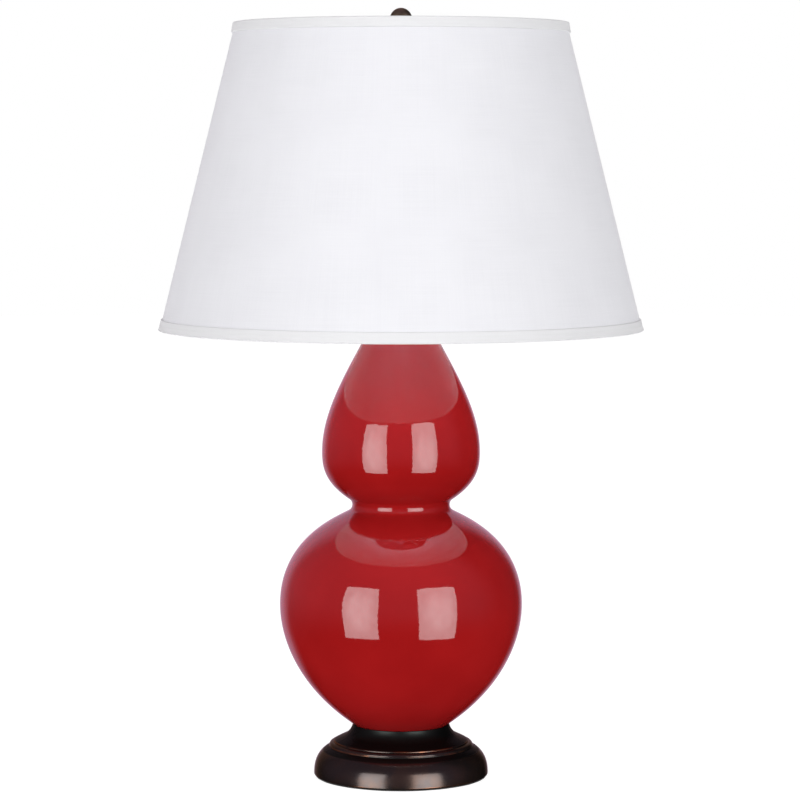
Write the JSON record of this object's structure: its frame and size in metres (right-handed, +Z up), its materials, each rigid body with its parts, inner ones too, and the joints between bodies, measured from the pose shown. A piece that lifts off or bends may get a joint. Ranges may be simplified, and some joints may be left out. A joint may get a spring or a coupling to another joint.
{
  "type": "table lamp",
  "caption": "Table lamp with a glazed double gourd body on a turned metal foot, a tapered fabric shade on a harp, and a ball finial.",
  "frame": {"origin": "centre of the felt's underside, on the table under the lamp's axis", "axes": "+Z up the lamp's axis; -Y the front, with the switch key; +Y the back, with the cord inlet; X in the harp's plane"},
  "size_m": [0.4951, 0.4951, 0.7874],
  "materials": {
    "felt": "pressed wool felt",
    "fibreboard": "raw hardboard",
    "patina_bronze": "dark bronze patina, satin, worn brown on its edges",
    "finial_bronze": "dark bronze patina, satin",
    "glaze": "deep red gloss glaze",
    "brass": "lacquered brass",
    "zinc_steel": "zinc-plated steel",
    "gasket_rubber": "soft black rubber",
    "phenolic": "moulded phenolic",
    "key_plastic": "moulded black plastic",
    "card": "insulating card",
    "bulb_glass": "soft white coated glass",
    "bulb_metal": "bare aluminium",
    "bulb_vitrite": "black glass",
    "solder": "tinned",
    "white_wire": "white enamel",
    "styrene": "white hardback styrene",
    "linen": "white plain-weave fabric",
    "linen_trim": "white folded fabric tape"
  },
  "bodies": {
    "base": {"felt_pad": "felt", "base_board": "fibreboard", "base_foot": "patina_bronze", "cord_bushing": "phenolic", "bottom_washer": "zinc_steel", "lock_washer": "zinc_steel", "bottom_nut": "zinc_steel", "lamp_rod": "zinc_steel", "base_gasket": "gasket_rubber", "ceramic_body": "glaze", "neck_gasket": "gasket_rubber", "vase_cap": "patina_bronze", "neck_spacer": "finial_bronze", "harp_saddle": "finial_bronze", "top_nut": "zinc_steel", "socket_cap": "finial_bronze", "socket_set_screw": "zinc_steel", "socket_shell": "finial_bronze", "insulating_sleeve": "card", "switch_block": "phenolic", "terminal_screws": "brass", "screw_shell": "brass", "center_contact": "brass"},
    "key": {"switch_shaft": "brass", "switch_key": "key_plastic"},
    "bulb": {"bulb_globe": "bulb_glass", "bulb_cap": "bulb_metal", "bulb_insulator": "bulb_vitrite", "bulb_button": "solder"},
    "harp": {"harp_wire": "finial_bronze"},
    "left_sleeve": {"ferrule_left": "finial_bronze"},
    "right_sleeve": {"ferrule_right": "finial_bronze"},
    "stud": {"harp_stud": "brass"},
    "shade": {"spider_arms": "white_wire", "spider_washer": "white_wire", "top_ring": "white_wire", "bottom_ring": "white_wire", "shade_liner": "styrene", "shade_fabric": "linen", "top_trim": "linen_trim", "bottom_trim": "linen_trim"},
    "finial": {"finial": "finial_bronze"}
  },
  "joints": [
    {"name": "key_turn", "type": "hinge", "parent": "base", "child": "key", "pos_m": [0, -0.02, 0.5378], "axis": [0, -1, 0], "continuous": true},
    {"name": "bulb_unscrew", "type": "slide", "parent": "base", "child": "bulb", "axis": [0, 0, 1], "range_m": [0, 0.026]},
    {"name": "harp_lift", "type": "slide", "parent": "base", "child": "harp", "axis": [0, 0, 1], "range_m": [0, 0.03]},
    {"name": "left_sleeve_slide", "type": "slide", "parent": "harp", "child": "left_sleeve", "axis": [0, 0, 1], "range_m": [0, 0.011]},
    {"name": "right_sleeve_slide", "type": "slide", "parent": "harp", "child": "right_sleeve", "axis": [0, 0, 1], "range_m": [0, 0.011]},
    {"name": "shade_turn", "type": "hinge", "parent": "harp", "child": "stud", "pos_m": [0, 0, 0.754], "axis": [0, 0, 1], "continuous": true},
    {"name": "shade_lift", "type": "slide", "parent": "stud", "child": "shade", "axis": [0, 0, 1], "range_m": [0, 0.32]},
    {"name": "finial_unscrew", "type": "slide", "parent": "shade", "child": "finial", "axis": [0, 0, 1], "range_m": [0, 0.016]}
  ]
}
